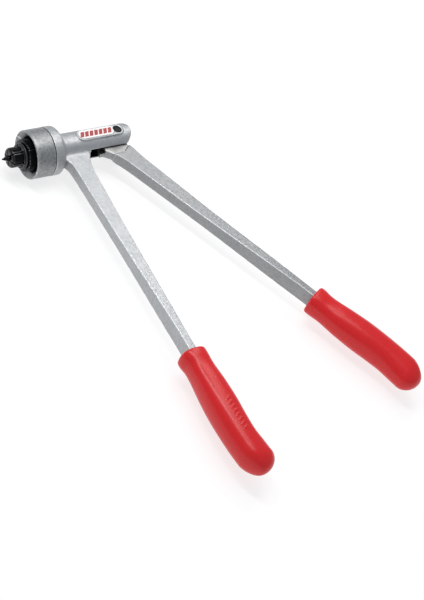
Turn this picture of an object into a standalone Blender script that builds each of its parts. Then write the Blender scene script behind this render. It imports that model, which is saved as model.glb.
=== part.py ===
"""A lever-operated tube expander: a two-handled hand tool that flares and swages soft copper tube ends.

The tool's own frame, used for every number below, is in millimetres. Its origin is the centre of the
head cap's front rim. X runs back along the barrel, so the jaws point to -X. The handles run to -Y and
the pivot pin stands along Z. One empty places that frame so that the tool lies on Z = 0, centred.

Squeezing the handles turns a spiral cam on the lever. The cam pushes a roller in the tail of the
mandrel, the mandrel's cone spreads six jaws, and a coil spring brings the mandrel back.
"""

import math

import bmesh
import bpy
from mathutils import Matrix, Vector

MM = 0.001

# Where the tool frame's origin stands above the base point, which is the middle of the footprint.
FRAME_AT = Vector((-122.9, 189.3, 25.3))

# Head and barrel, along X.
CAP_R = 25.0
CAP_LENGTH = 20.9
FLANGE_R = 25.3
FLANGE_END = 33.2
FLANGE_ROUND = 4.0
VALLEY_R = 6.0
BARREL_R = 15.2
NOSE_THREAD_R = 21.5
NOSE_FRONT = 14.0
BORE_R = 9.5
BORE_END = 86.0
BUSH_SEAT_X = 20.2
BUSH_SEAT_R = 11.8
CHANNEL_R = 18.6
CHANNEL_START = 4.2
CHANNEL_END = 8.1
FLANGE_SEAT_R = 22.5

# Pivot and cam.
PIVOT_X = 102.0
PIN_R = 3.8
PIN_HEAD_R = 4.35
PIN_GROOVE_R = 2.9
REAR_R = 16.0
REAR_CUT = 95.0
BOSS_R = 7.4
LEVER_BOSS_R = 10.5
WASHER_R = 9.0
SLOT_START = 66.8
SLOT_HALF = 6.6
SLOT_TOP = 11.4
TONGUE_HALF = 5.2
RELIEF_FLOOR = 1.2
CAM_RISE = 20.0
ROLLER_X = 77.7
ROLLER_R = 6.0
ROLLER_HALF = 4.0
ROLLER_BORE_R = 2.3
ROLLER_PIN_R = 2.0
ROLLER_PIN_HALF = 8.3
FORK_HALF = 4.3
EAR_R = 5.2

# Jaws and mandrel cone.
JAW_COUNT = 6
JAW_TURN = 20.0
JAW_SLIT = 0.9
NOSE_R = 10.3
NOSE_TIP = -20.0
SHOULDER_X = -8.6
SHOULDER_R = 12.5
COLLAR_X = -4.4
COLLAR_R = 16.5
JAW_FLANGE_R = 20.6
JAW_FLANGE_X = 8.4
JAW_END = 12.2
RING_GROOVE_X = -7.3
RING_GROOVE_R = 10.8
RING_WIRE = 1.25
WASHER_FRONT = 12.5
WASHER_BACK = 13.7
CONE_HALF_ANGLE = math.radians(10.0)
CONE_START = -23.0
CONE_START_R = 2.2
NECK_R = 6.9
PLUNGER_FRONT = 38.7
PLUNGER_R = 9.2

# Handles: stations are distances from the barrel axis, or from the foot of the lever's own axis.
FIXED_X = 48.3
LEVER_FOOT = (94.3, -3.7)
LEVER_TILT = math.radians(25.83)
SHANK_STATIONS = (40.0, 80.0, 120.0, 160.0, 200.0, 250.0)
SHANK_WIDE = 18.4
SHANK_NARROW = 7.6
SHANK_THIN = 6.5
SHANK_DEEP = 9.0
TANG_END = 385.0
GRIP_START = 267.0
GRIP_LENGTH = 137.0
GRIP_RINGS = 20
GRIP_LIP = 0.008
GRIP_TIP = 0.86
GRIP_HOOK = 3.5
GRIP_SQUARENESS = 2.5

# Fillet webs between barrel and shank, and the raised pad with its nameplate.
WEB_START = 36.5
WEB_END = 63.0
PAD_TOP = 16.3
PAD_HALF = 6.6
PAD_START = 54.5
PLATE_END = 92.0
PLATE_HALF = 5.3
RECESS_HALF = 5.6
GAP = 0.3
# How far a cutter reaches when it only has to clear the piece it cuts.
CLEAR = 40.0

# Turns an outline drawn in X and Y, raised along Z, into one drawn in Y and Z, raised along X.
TURN_Z_TO_X = Matrix(((0, 0, 1, 0), (1, 0, 0, 0), (0, 1, 0, 0), (0, 0, 0, 1)))


# ---- scene helpers ---------------------------------------------------------------------------------


def clear_scene():
    for old in list(bpy.data.objects):
        bpy.data.objects.remove(old, do_unlink=True)


def new_collection(name):
    made = bpy.data.collections.new(name)
    bpy.context.scene.collection.children.link(made)
    return made


def material(name, colour, roughness, metallic):
    made = bpy.data.materials.new(name)
    made.use_nodes = True
    shader = made.node_tree.nodes["Principled BSDF"]
    shader.inputs["Base Color"].default_value = (*colour, 1.0)
    shader.inputs["Roughness"].default_value = roughness
    shader.inputs["Metallic"].default_value = metallic
    return made


def empty(name, at_mm, parent=None):
    made = bpy.data.objects.new(name, None)
    made.empty_display_size = 0.01
    PARTS.objects.link(made)
    made.parent = parent
    made.location = Vector(at_mm) * MM
    return made


def add_object(name, mesh, parent, finish=None):
    made = bpy.data.objects.new(name, mesh)
    made.parent = parent
    if finish is None:
        made.hide_render = True
        made.display_type = "WIRE"
        CUTTERS.objects.link(made)
    else:
        made.data.materials.append(finish)
        PARTS.objects.link(made)
    return made


def bake(obj):
    """The object as its modifiers leave it, as one plain mesh in the same place."""
    bpy.context.view_layer.update()
    graph = bpy.context.evaluated_depsgraph_get()
    mesh = bpy.data.meshes.new_from_object(obj.evaluated_get(graph))
    loose = bmesh.new()
    loose.from_mesh(mesh)
    bmesh.ops.remove_doubles(loose, verts=loose.verts, dist=1e-6)
    bmesh.ops.recalc_face_normals(loose, faces=loose.faces)
    loose.to_mesh(mesh)
    loose.free()
    mesh.name = obj.name
    return mesh


def turned(name, profile, parent, finish=None, steps=48):
    """A shape turned about X. The profile is (x, radius) from its +X end down the outside to -X.

    A profile that ends on the axis makes a solid, and one that leaves it is closed into a ring.
    """
    mesh = bpy.data.meshes.new(name)
    points = [(x * MM, r * MM, 0.0) for x, r in profile]
    edges = [(i, i + 1) for i in range(len(points) - 1)]
    if profile[0][1] > 0.0:
        edges.append((len(points) - 1, 0))
    mesh.from_pydata(points, edges, [])
    shape = add_object(name, mesh, parent, finish)
    screw = shape.modifiers.new("Turn", "SCREW")
    screw.axis = "X"
    screw.steps = steps
    screw.render_steps = steps
    screw.use_merge_vertices = True
    screw.merge_threshold = 1e-6
    weld = shape.modifiers.new("Weld", "WELD")
    weld.merge_threshold = 1e-6
    shape.data = bake(shape)
    shape.modifiers.clear()
    shape.data.shade_smooth()
    shape.data.set_sharp_from_angle(angle=math.radians(35.0))
    return shape


def plate(name, outline, low, high, parent, finish=None):
    """A flat outline in X and Y, filled and raised from z = low to z = high."""
    curve = bpy.data.curves.new(name, "CURVE")
    curve.dimensions = "2D"
    curve.fill_mode = "BOTH"
    curve.extrude = (high - low) / 2.0 * MM
    spline = curve.splines.new("POLY")
    spline.points.add(len(outline) - 1)
    for point, (x, y) in zip(spline.points, outline):
        point.co = (x * MM, y * MM, 0.0, 1.0)
    spline.use_cyclic_u = True
    guide = bpy.data.objects.new(name + "_outline", curve)
    CUTTERS.objects.link(guide)
    mesh = bake(guide)
    bpy.data.objects.remove(guide)
    mesh.transform(Matrix.Translation((0.0, 0.0, (high + low) / 2.0 * MM)))
    mesh.materials.clear()
    return add_object(name, mesh, parent, finish)


def box(name, low, high, parent):
    bm = bmesh.new()
    bmesh.ops.create_cube(bm, size=1.0)
    size = (Vector(high) - Vector(low)) * MM
    middle = (Vector(high) + Vector(low)) / 2.0 * MM
    bmesh.ops.scale(bm, vec=size, verts=bm.verts)
    bmesh.ops.translate(bm, vec=middle, verts=bm.verts)
    mesh = bpy.data.meshes.new(name)
    bm.to_mesh(mesh)
    bm.free()
    return add_object(name, mesh, parent)


def rod(name, centre, radius, low, high, parent, finish=None, segments=28, chamfer=0.0):
    """A cylinder along Z at (x, y), with an optional chamfer on both ends."""
    bm = bmesh.new()
    wide, tall = radius * MM, (high - low) * MM
    bmesh.ops.create_cone(bm, cap_ends=True, segments=segments, radius1=wide, radius2=wide, depth=tall)
    bmesh.ops.translate(bm, vec=Vector((centre[0], centre[1], (low + high) / 2.0)) * MM, verts=bm.verts)
    if chamfer:
        rims = [e for e in bm.edges if any(len(f.verts) > 4 for f in e.link_faces)]
        bmesh.ops.bevel(bm, geom=rims, offset=chamfer * MM, segments=1, affect="EDGES")
    mesh = bpy.data.meshes.new(name)
    bm.to_mesh(mesh)
    bm.free()
    mesh.shade_smooth()
    mesh.set_sharp_from_angle(angle=math.radians(35.0))
    return add_object(name, mesh, parent, finish)


def boolean(target, other, operation="DIFFERENCE"):
    """Every piece and cutter is closed, so the MANIFOLD solver serves; EXACT loses the casting's unions."""
    modifier = target.modifiers.new(operation.title(), "BOOLEAN")
    modifier.operation = operation
    modifier.solver = "MANIFOLD"
    modifier.object = other


def soften(target, width, segments=2):
    bevel = target.modifiers.new("Soften", "BEVEL")
    bevel.width = width * MM
    bevel.segments = segments
    bevel.limit_method = "ANGLE"
    bevel.angle_limit = math.radians(40.0)


def arc(centre, radius, start, end, steps):
    """Points on a circular arc, with angles in degrees."""
    turns = [math.radians(start + (end - start) * i / steps) for i in range(steps + 1)]
    return [(centre[0] + radius * math.cos(a), centre[1] + radius * math.sin(a)) for a in turns]


def bend(start, control, end, steps):
    """Points on a quadratic curve, without its first point."""
    points = []
    for i in range(1, steps + 1):
        t = i / steps
        weights = ((1 - t) ** 2, 2 * t * (1 - t), t**2)
        points.append(tuple(sum(w * p[k] for w, p in zip(weights, (start, control, end))) for k in (0, 1)))
    return points


def cone_radius(x):
    """The mandrel's radius at x, on its cone and its neck."""
    return min(CONE_START_R + (x - CONE_START) * math.tan(CONE_HALF_ANGLE), NECK_R)


# ---- body --------------------------------------------------------------------------------------------


def shank_half_width(station):
    share = (station - SHANK_STATIONS[0]) / (SHANK_STATIONS[-1] - SHANK_STATIONS[0])
    return (SHANK_WIDE + (SHANK_NARROW - SHANK_WIDE) * min(max(share, 0.0), 1.0)) / 2.0


def shank_half_depth(station):
    """Half the shank's depth along Z: thin near the head, deeper towards the grip."""
    share = min(max((station - 110.0) / 140.0, 0.0), 1.0)
    return SHANK_THIN + (SHANK_DEEP - SHANK_THIN) * share * share * (3.0 - 2.0 * share)


def deepen(shape, foot, along):
    """Scales a flat shank's Z by its depth at each station. Its plate is 1 mm thick either way."""
    for vertex in shape.data.vertices:
        offset = Vector((vertex.co.x / MM - foot[0], vertex.co.y / MM - foot[1]))
        vertex.co.z *= shank_half_depth(offset.dot(along))


def fixed_shank():
    """The fixed handle's bar, with the fillets that run it into the barrel and the flange."""
    left = [(FIXED_X - shank_half_width(s), -s) for s in SHANK_STATIONS]
    right = [(FIXED_X + shank_half_width(s), -s) for s in reversed(SHANK_STATIONS)]
    tang = [(FIXED_X - SHANK_NARROW / 2.0, -TANG_END), (FIXED_X + SHANK_NARROW / 2.0, -TANG_END)]
    root = bend((57.9, -38.0), (59.3, -22.2), (SLOT_START, -14.5), 7)
    outline = [(SLOT_START, -9.0), (32.5, -9.0), (32.5, -16.0), (34.6, -20.5), (36.8, -25.0), (38.5, -31.0)]
    outline += left + tang + right + root
    shank = plate("fixed_shank", outline, -1.0, 1.0, TOOL)
    deepen(shank, (FIXED_X, 0.0), Vector((0.0, -1.0)))
    soften(shank, 1.5)
    return shank


def fillet_webs(body):
    """The fillets that run the barrel down onto the shank's two faces."""
    section = [(-9.0, 5.0), (-17.6, 5.0), (-17.6, SHANK_THIN - 0.1), (-15.6, 6.8), (-13.8, 7.6), (-12.3, 8.9),
               (-9.0, 8.9)]
    for side in (1.0, -1.0):
        web = plate("fillet_web", [(y, z * side) for y, z in section], WEB_START, WEB_END, TOOL)
        web.data.transform(TURN_Z_TO_X)
        boolean(body, web, "UNION")


def body_casting():
    valley = arc((FLANGE_END + VALLEY_R, BARREL_R + VALLEY_R), VALLEY_R, -90.0, -180.0, 6)
    rear_edge = arc((FLANGE_END - FLANGE_ROUND, FLANGE_R - FLANGE_ROUND), FLANGE_ROUND, 0.0, 90.0, 4)
    profile = [(PIVOT_X + REAR_R + 1.0, 0.0), (PIVOT_X + REAR_R + 1.0, BARREL_R)]
    profile += valley + rear_edge
    profile += [
        (CAP_LENGTH + GAP + 0.4, FLANGE_R),
        (CAP_LENGTH + GAP, FLANGE_R - 0.5),
        (CAP_LENGTH + GAP, NOSE_THREAD_R),
        (NOSE_FRONT + 0.8, NOSE_THREAD_R),
        (NOSE_FRONT, NOSE_THREAD_R - 0.8),
        (NOSE_FRONT, 0.0),
    ]
    body = turned("body_casting", profile, TOOL, ALUMINIUM, steps=48)
    rear = arc((PIVOT_X, 0.0), REAR_R, -90.0, 90.0, 18)
    rear = [(0.0, CLEAR), (0.0, -CLEAR), (REAR_CUT, -CLEAR), (REAR_CUT, -REAR_R), *rear]
    rear += [(REAR_CUT, REAR_R), (REAR_CUT, CLEAR)]
    boolean(body, plate("rear_rounding", rear, -CLEAR, CLEAR, TOOL), "INTERSECT")
    pad = arc((PIVOT_X, 0.0), PAD_HALF, -90.0, 90.0, 10)
    pad += arc((PAD_START + PAD_HALF, 0.0), PAD_HALF, 90.0, 270.0, 10)
    boolean(body, plate("label_pad", pad, 10.0, PAD_TOP, TOOL), "UNION")
    boolean(body, rod("lower_boss", (PIVOT_X, 0.0), BOSS_R, -PAD_TOP, -10.0, TOOL), "UNION")
    boolean(body, fixed_shank(), "UNION")
    fillet_webs(body)
    bore = [(BORE_END, 0.0), (BORE_END, BORE_R), (BUSH_SEAT_X, BORE_R), (BUSH_SEAT_X, BUSH_SEAT_R),
            (NOSE_FRONT - 5.0, BUSH_SEAT_R), (NOSE_FRONT - 5.0, 0.0)]
    boolean(body, turned("bore", bore, TOOL, steps=36))
    slot_end = PIVOT_X + REAR_R + 12.0
    boolean(body, box("slot", (SLOT_START, -CLEAR, -SLOT_HALF), (slot_end, SLOT_TOP, SLOT_HALF), TOOL))
    boolean(body, rod("pin_hole", (PIVOT_X, 0.0), PIN_R + GAP, -CLEAR, CLEAR, TOOL))
    boolean(body, rod("pin_head_seat", (PIVOT_X, 0.0), PIN_HEAD_R + GAP, PAD_TOP - 3.3, CLEAR, TOOL))
    recess = arc((PLATE_END, 0.0), RECESS_HALF, -90.0, 90.0, 8)
    recess += arc((PAD_START + PAD_HALF, 0.0), RECESS_HALF, 90.0, 270.0, 8)
    boolean(body, plate("nameplate_recess", recess, PAD_TOP - 0.7, CLEAR, TOOL))
    return body


def head_cap():
    """The aluminium ring that screws over the body's nose and holds the jaws by their flanges."""
    thread = NOSE_THREAD_R + 0.4
    profile = [
        (CAP_LENGTH, thread),
        (CAP_LENGTH, CAP_R - 0.5),
        (CAP_LENGTH - 0.4, CAP_R),
        (0.7, CAP_R),
        (0.0, CAP_R - 0.7),
        (0.0, CAP_R - 1.5),
        (CHANNEL_START, CHANNEL_R),
        (CHANNEL_END, CHANNEL_R),
        (CHANNEL_END, FLANGE_SEAT_R),
        (13.4, FLANGE_SEAT_R),
        (13.9, thread),
    ]
    return turned("head_cap", profile, TOOL, SATIN, steps=60)


def guide_bush():
    """Steel bush in the nose: it guides the mandrel's neck and seats the return spring."""
    profile = [(19.9, 7.2), (19.9, 11.1), (19.5, 11.5), (14.3, 11.5), (14.3, 7.6), (14.7, 7.2)]
    return turned("guide_bush", profile, TOOL, STEEL, steps=32)


def jaw_thrust_washer():
    inner, outer = 13.2, 21.0
    profile = [(WASHER_BACK, inner), (WASHER_BACK, outer), (WASHER_FRONT, outer), (WASHER_FRONT, inner)]
    return turned("jaw_thrust_washer", profile, TOOL, STEEL, steps=32)


# ---- jaws ---------------------------------------------------------------------------------------------


def jaw_profile():
    """One jaw's section: flange in the cap, collar, ring groove, tube shoulder and nose."""
    clearance = 0.35
    return [
        (JAW_END, NECK_R + 0.4),
        (JAW_END, JAW_FLANGE_R),
        (JAW_FLANGE_X, JAW_FLANGE_R),
        (JAW_FLANGE_X, COLLAR_R),
        (COLLAR_X + 0.4, COLLAR_R),
        (COLLAR_X, COLLAR_R - 0.4),
        (COLLAR_X, RING_GROOVE_R),
        (RING_GROOVE_X, RING_GROOVE_R),
        (RING_GROOVE_X, SHOULDER_R),
        (SHOULDER_X, SHOULDER_R),
        (SHOULDER_X, NOSE_R),
        (NOSE_TIP + 1.3, NOSE_R),
        (NOSE_TIP, NOSE_R - 1.3),
        (NOSE_TIP, cone_radius(NOSE_TIP) + clearance),
        (3.7, NECK_R + clearance),
    ]


def jaws():
    """Six alike jaws, each a sixth of the turned shape less a slit, round the barrel axis."""
    half = math.pi / JAW_COUNT
    start = turned("jaw_blank", jaw_profile(), TOOL, steps=60)
    inset = JAW_SLIT / 2.0 / math.sin(half)
    corners = [
        (inset, 0.0),
        (inset + CLEAR, -CLEAR * math.tan(half)),
        (inset + CLEAR, CLEAR * math.tan(half)),
    ]
    wedge = plate("jaw_wedge", corners, -60.0, 60.0, TOOL)
    wedge.data.transform(TURN_Z_TO_X)
    boolean(start, wedge, "INTERSECT")
    mesh = bake(start)
    mesh.shade_smooth()
    mesh.set_sharp_from_angle(angle=math.radians(35.0))
    mesh.materials.clear()
    mesh.materials.append(BLACK_STEEL)
    for number in range(JAW_COUNT):
        jaw = bpy.data.objects.new(f"jaw_{number + 1}", mesh)
        PARTS.objects.link(jaw)
        jaw.parent = TOOL
        jaw.rotation_euler.x = math.radians(JAW_TURN + 360.0 / JAW_COUNT * number)
    start.modifiers.clear()


def jaw_retaining_ring():
    """Rubber ring that draws the six jaws together."""
    middle = ((RING_GROOVE_X + COLLAR_X) / 2.0, RING_GROOVE_R + GAP + RING_WIRE)
    section = arc(middle, RING_WIRE, 0.0, 315.0, 7)
    return turned("jaw_retaining_ring", section, TOOL, RUBBER, steps=36)


# ---- mandrel ------------------------------------------------------------------------------------------


def mandrel():
    """Pointed cone, neck and plunger, with a forked tail for the cam roller."""
    cone_end = CONE_START + (NECK_R - CONE_START_R) / math.tan(CONE_HALF_ANGLE)
    tail = ROLLER_X + EAR_R
    profile = [
        (tail + 1.0, 0.0),
        (tail + 1.0, PLUNGER_R),
        (PLUNGER_FRONT + 0.6, PLUNGER_R),
        (PLUNGER_FRONT, PLUNGER_R - 0.6),
        (PLUNGER_FRONT, NECK_R),
        (cone_end, NECK_R),
        (CONE_START, CONE_START_R),
        (CONE_START - 0.8, 1.9),
        (-27.6, 0.35),
        (-27.6, 0.0),
    ]
    shape = turned("mandrel", profile, TOOL, BLACK_STEEL, steps=36)
    ears = [(-CLEAR, 20.0), (-CLEAR, -20.0), (73.0, -20.0), (75.0, -EAR_R)]
    ears += arc((ROLLER_X, 0.0), EAR_R, -90.0, 90.0, 10)
    ears += [(75.0, EAR_R), (73.0, 20.0)]
    fork = ROLLER_X - ROLLER_R - 0.6
    boolean(shape, plate("mandrel_ears", ears, -CLEAR, CLEAR, TOOL), "INTERSECT")
    boolean(shape, box("roller_slot", (fork, -CLEAR, -FORK_HALF), (fork + CLEAR, CLEAR, FORK_HALF), TOOL))
    boolean(shape, rod("roller_pin_hole", (ROLLER_X, 0.0), ROLLER_BORE_R, -CLEAR, CLEAR, TOOL, segments=24))
    return shape


def cam_roller():
    roller = rod("cam_roller", (ROLLER_X, 0.0), ROLLER_R, -ROLLER_HALF, ROLLER_HALF, TOOL, STEEL, chamfer=0.4)
    boolean(roller, rod("roller_bore", (ROLLER_X, 0.0), ROLLER_BORE_R, -CLEAR, CLEAR, TOOL, segments=24))
    return roller


def return_spring():
    """Compression spring on the mandrel's neck, between the guide bush and the plunger."""
    wire = 0.6
    radius = 8.2
    turns = 6.5
    start = BUSH_SEAT_X + GAP + wire
    end = PLUNGER_FRONT - GAP - wire
    count = int(turns * 12)
    curve = bpy.data.curves.new("return_spring", "CURVE")
    curve.dimensions = "3D"
    curve.bevel_depth = wire * MM
    curve.bevel_resolution = 1
    curve.use_fill_caps = True
    spline = curve.splines.new("POLY")
    spline.points.add(count)
    for i, point in enumerate(spline.points):
        turn = 2.0 * math.pi * turns * i / count
        x = start + (end - start) * i / count
        point.co = (x * MM, radius * math.cos(turn) * MM, radius * math.sin(turn) * MM, 1.0)
    spring = bpy.data.objects.new("return_spring", curve)
    curve.materials.append(SPRING_STEEL)
    PARTS.objects.link(spring)
    spring.parent = TOOL
    return spring


# ---- lever and pivot ----------------------------------------------------------------------------------


def cam_point(turn):
    """The cam's edge about the pivot where it meets the roller once the lever has turned this far.

    The roller's centre climbs CAM_RISE mm a radian in the lever's frame, and the edge lies a roller's
    radius and a gap inside that path.
    """
    radius = PIVOT_X - ROLLER_X + CAM_RISE * turn
    angle = math.pi + turn
    along = Vector((
        CAM_RISE * math.cos(angle) - radius * math.sin(angle),
        CAM_RISE * math.sin(angle) + radius * math.cos(angle),
    )).normalized()
    outward = Vector((along.y, -along.x))
    return tuple(Vector((radius * math.cos(angle), radius * math.sin(angle))) - outward * (ROLLER_R + GAP))


def lever():
    """Handle bar with a thinner machined tongue that carries the cam and turns on the pin."""
    along = Vector((math.sin(LEVER_TILT), -math.cos(LEVER_TILT)))
    across = Vector((along.y, -along.x))
    foot = Vector((LEVER_FOOT[0] - PIVOT_X, LEVER_FOOT[1]))

    def edge(station, side):
        half = shank_half_width(station)
        return tuple(foot + along * station + across * half * side)

    inner = [edge(s, 1.0) for s in SHANK_STATIONS]
    outer = [edge(s, -1.0) for s in reversed(SHANK_STATIONS)]
    tang = [edge(TANG_END, 1.0), edge(TANG_END, -1.0)]
    shoulder = [(10.6, -14.9), (1.6, -22.3), (-12.2, -23.8)]
    flank = bend((-12.2, -23.8), (-8.0, -26.5), inner[0], 4)
    bar = plate("lever", shoulder + flank + inner[1:] + tang + outer, -1.0, 1.0, LEVER_PIVOT, ALUMINIUM)
    deepen(bar, foot, along)
    soften(bar, 1.3)
    tongue_inner = bend(edge(45.0, 1.0), (-9.2, -21.0), (-20.3, -16.3), 6)
    cam = [cam_point(math.radians(t)) for t in (30, 25, 20, 15, 10, 5, 0, -6, -12)]
    boss = arc((0.0, 0.0), LEVER_BOSS_R, 150.0, -20.0, 14)
    outline = [tuple(foot + along * 58.0), *tongue_inner, *cam, *boss, (9.4, -14.0), edge(42.0, -0.8)]
    boolean(bar, plate("tongue", outline, -TONGUE_HALF, TONGUE_HALF, LEVER_PIVOT), "UNION")
    relief = [(-18.8, -19.4), (-20.9, -13.6), (-21.6, -12.2), (-34.0, -12.2), (-34.0, -25.0), (-18.8, -25.0)]
    boolean(bar, plate("tongue_relief", relief, RELIEF_FLOOR, CLEAR, LEVER_PIVOT))
    boolean(bar, rod("lever_pin_hole", (0.0, 0.0), PIN_R + GAP, -CLEAR, CLEAR, LEVER_PIVOT))
    return bar


def pivot_pin():
    """Headed pin, pushed in from above, with a groove for its retaining ring below the boss."""
    foot = -PAD_TOP - 3.4
    pin = rod("pivot_pin", (PIVOT_X, 0.0), PIN_R, foot, PAD_TOP - 1.0, TOOL, BLACK_STEEL, chamfer=0.5)
    head = rod("pin_head", (PIVOT_X, 0.0), PIN_HEAD_R, PAD_TOP - 3.0, PAD_TOP - 0.4, TOOL, chamfer=0.35)
    boolean(pin, head, "UNION")
    groove = rod("pin_groove", (PIVOT_X, 0.0), 8.0, -PAD_TOP - 1.9, -PAD_TOP - 0.3, TOOL)
    boolean(groove, rod("pin_groove_core", (PIVOT_X, 0.0), PIN_GROOVE_R, -CLEAR, CLEAR, TOOL))
    boolean(pin, groove)
    return pin


def pin_retaining_ring():
    """Open spring ring in the pin's groove."""
    outer, mouth = 6.4, 2.2
    low, high = -PAD_TOP - 1.6, -PAD_TOP - 0.6
    ring = rod("pin_retaining_ring", (PIVOT_X, 0.0), outer, low, high, TOOL, SPRING_STEEL)
    boolean(ring, rod("ring_bore", (PIVOT_X, 0.0), PIN_GROOVE_R + GAP, -CLEAR, CLEAR, TOOL))
    boolean(ring, box("ring_mouth", (PIVOT_X, -mouth, -CLEAR), (PIVOT_X + CLEAR, mouth, 0.0), TOOL))
    return ring


def pivot_washer(name, low, high):
    washer = rod(name, (PIVOT_X, 0.0), WASHER_R, low, high, TOOL, STEEL)
    boolean(washer, rod(name + "_bore", (PIVOT_X, 0.0), PIN_R + GAP, -CLEAR, CLEAR, TOOL))
    return washer


# ---- grips and plate ----------------------------------------------------------------------------------


def grip_profile(share, side):
    """A grip's half width at a share of its length, from mouth to end, on its outer or inner side."""
    outer = ((0.0, 13.6), (0.04, 14.2), (0.12, 12.4), (0.28, 14.0), (0.45, 15.4), (0.62, 15.2),
             (0.76, 14.0), (0.86, 12.0), (1.0, 8.0))
    inner = ((0.0, 13.4), (0.04, 13.8), (0.12, 13.8), (0.28, 15.2), (0.45, 15.6), (0.62, 15.0),
             (0.76, 16.6), (0.86, 19.4), (1.0, 18.0))
    deep = ((0.0, 13.8), (0.04, 14.2), (0.12, 13.4), (0.28, 14.8), (0.45, 15.8), (0.62, 15.6),
            (0.76, 15.2), (0.86, 15.0), (1.0, 13.0))
    table = {"outer": outer, "inner": inner, "deep": deep}[side]
    for (a, low), (b, high) in zip(table, table[1:]):
        if share <= b:
            t = (share - a) / (b - a)
            return low + (high - low) * t * t * (3.0 - 2.0 * t)
    return table[-1][1]


def tip_share(share):
    """How far into the grip's rounded end a share of its length lies, from 0 to 1."""
    return max(0.0, (share - GRIP_TIP) / (1.0 - GRIP_TIP))


def grip_ring(number):
    """(share of the length, share of the full section) of one ring of the grip, from its mouth."""
    if number < 3:
        return ((0.0, 0.0), (0.0, 0.93), (GRIP_LIP, 1.0))[number]
    share = GRIP_LIP + (1.0 - GRIP_LIP) * math.sin(math.pi / 2.0 * (number - 2) / (GRIP_RINGS - 2))
    return share, max(0.0, 1.0 - tip_share(share) ** 2.4) ** 0.5


def grip(name, parent, foot, along, inward):
    """A dipped vinyl grip: a sphere drawn out along the handle, with a finger hook on its inner side."""
    bm = bmesh.new()
    bmesh.ops.create_uvsphere(bm, u_segments=18, v_segments=GRIP_RINGS, radius=1.0)
    for vertex in bm.verts:
        number = round(math.acos(max(-1.0, min(1.0, vertex.co.z))) / math.pi * GRIP_RINGS)
        share, fullness = grip_ring(number)
        around = math.atan2(vertex.co.y, vertex.co.x)
        side, depth = math.cos(around), math.sin(around)
        power = GRIP_SQUARENESS
        square = fullness * (abs(side) ** power + abs(depth) ** power) ** (-1.0 / power)
        hook = GRIP_HOOK * tip_share(share)
        wide = side * square * grip_profile(share, "inner" if side > 0.0 else "outer") + hook
        deep = depth * square * grip_profile(share, "deep")
        flat = foot + along * (GRIP_START + share * GRIP_LENGTH) + inward * wide
        vertex.co = Vector((flat.x, flat.y, deep)) * MM
    bmesh.ops.recalc_face_normals(bm, faces=bm.faces)
    if bm.calc_volume(signed=True) < 0.0:
        bmesh.ops.reverse_faces(bm, faces=bm.faces)
    mesh = bpy.data.meshes.new(name)
    bm.to_mesh(mesh)
    bm.free()
    mesh.shade_smooth()
    shape = add_object(name, mesh, parent, RED_VINYL)
    across = Vector((along.y, -along.x))
    half = SHANK_NARROW / 2.0 + GAP
    corners = [(s, side) for s, side in ((GRIP_START - 10.0, -half), (TANG_END + 0.5, -half),
                                         (TANG_END + 0.5, half), (GRIP_START - 10.0, half))]
    outline = [tuple(foot + along * s + across * side) for s, side in corners]
    boolean(shape, plate(name + "_socket", outline, -SHANK_DEEP - GAP, SHANK_DEEP + GAP, parent))
    return shape


def grips():
    grip("fixed_grip", TOOL, Vector((FIXED_X, 0.0)), Vector((0.0, -1.0)), Vector((1.0, 0.0)))
    along = Vector((math.sin(LEVER_TILT), -math.cos(LEVER_TILT)))
    foot = Vector((LEVER_FOOT[0] - PIVOT_X, LEVER_FOOT[1]))
    grip("lever_grip", LEVER_PIVOT, foot, along, Vector((along.y, -along.x)))


def nameplate():
    outline = arc((PLATE_END, 0.0), PLATE_HALF, -90.0, 90.0, 12)
    outline += arc((PAD_START + PAD_HALF, 0.0), PLATE_HALF, 90.0, 270.0, 12)
    return plate("nameplate", outline, PAD_TOP - 0.4, PAD_TOP + 0.2, TOOL, ENAMEL)


# ---- the tool -----------------------------------------------------------------------------------------

clear_scene()
PARTS = new_collection("tube_expander")
CUTTERS = new_collection("cutters")
CUTTERS.hide_render = True

ALUMINIUM = material("cast_aluminium", (0.62, 0.62, 0.61), 0.5, 0.9)
SATIN = material("satin_aluminium", (0.66, 0.67, 0.68), 0.4, 0.9)
STEEL = material("steel", (0.5, 0.5, 0.5), 0.35, 1.0)
SPRING_STEEL = material("spring_steel", (0.35, 0.35, 0.36), 0.35, 1.0)
BLACK_STEEL = material("black_oxide_steel", (0.02, 0.021, 0.022), 0.35, 0.6)
RUBBER = material("black_rubber", (0.02, 0.02, 0.02), 0.6, 0.0)
RED_VINYL = material("red_vinyl", (0.62, 0.02, 0.025), 0.3, 0.0)
ENAMEL = material("white_enamel", (0.85, 0.83, 0.82), 0.3, 0.0)

TOOL = empty("tool_frame", FRAME_AT)
LEVER_PIVOT = empty("lever_pivot", (PIVOT_X, 0.0, 0.0), TOOL)

body_casting()
head_cap()
guide_bush()
jaw_thrust_washer()
jaws()
jaw_retaining_ring()
mandrel()
cam_roller()
rod("roller_pin", (ROLLER_X, 0.0), ROLLER_PIN_R, -ROLLER_PIN_HALF, ROLLER_PIN_HALF, TOOL, STEEL, 24, 0.3)
return_spring()
lever()
pivot_pin()
pin_retaining_ring()
pivot_washer("lever_washer_upper", TONGUE_HALF + GAP, SLOT_HALF - GAP)
pivot_washer("lever_washer_lower", -SLOT_HALF + GAP, -TONGUE_HALF - GAP)
grips()
nameplate()
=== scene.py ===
import math

import bmesh
import bpy
import numpy as np
from mathutils import Matrix, Vector


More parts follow.
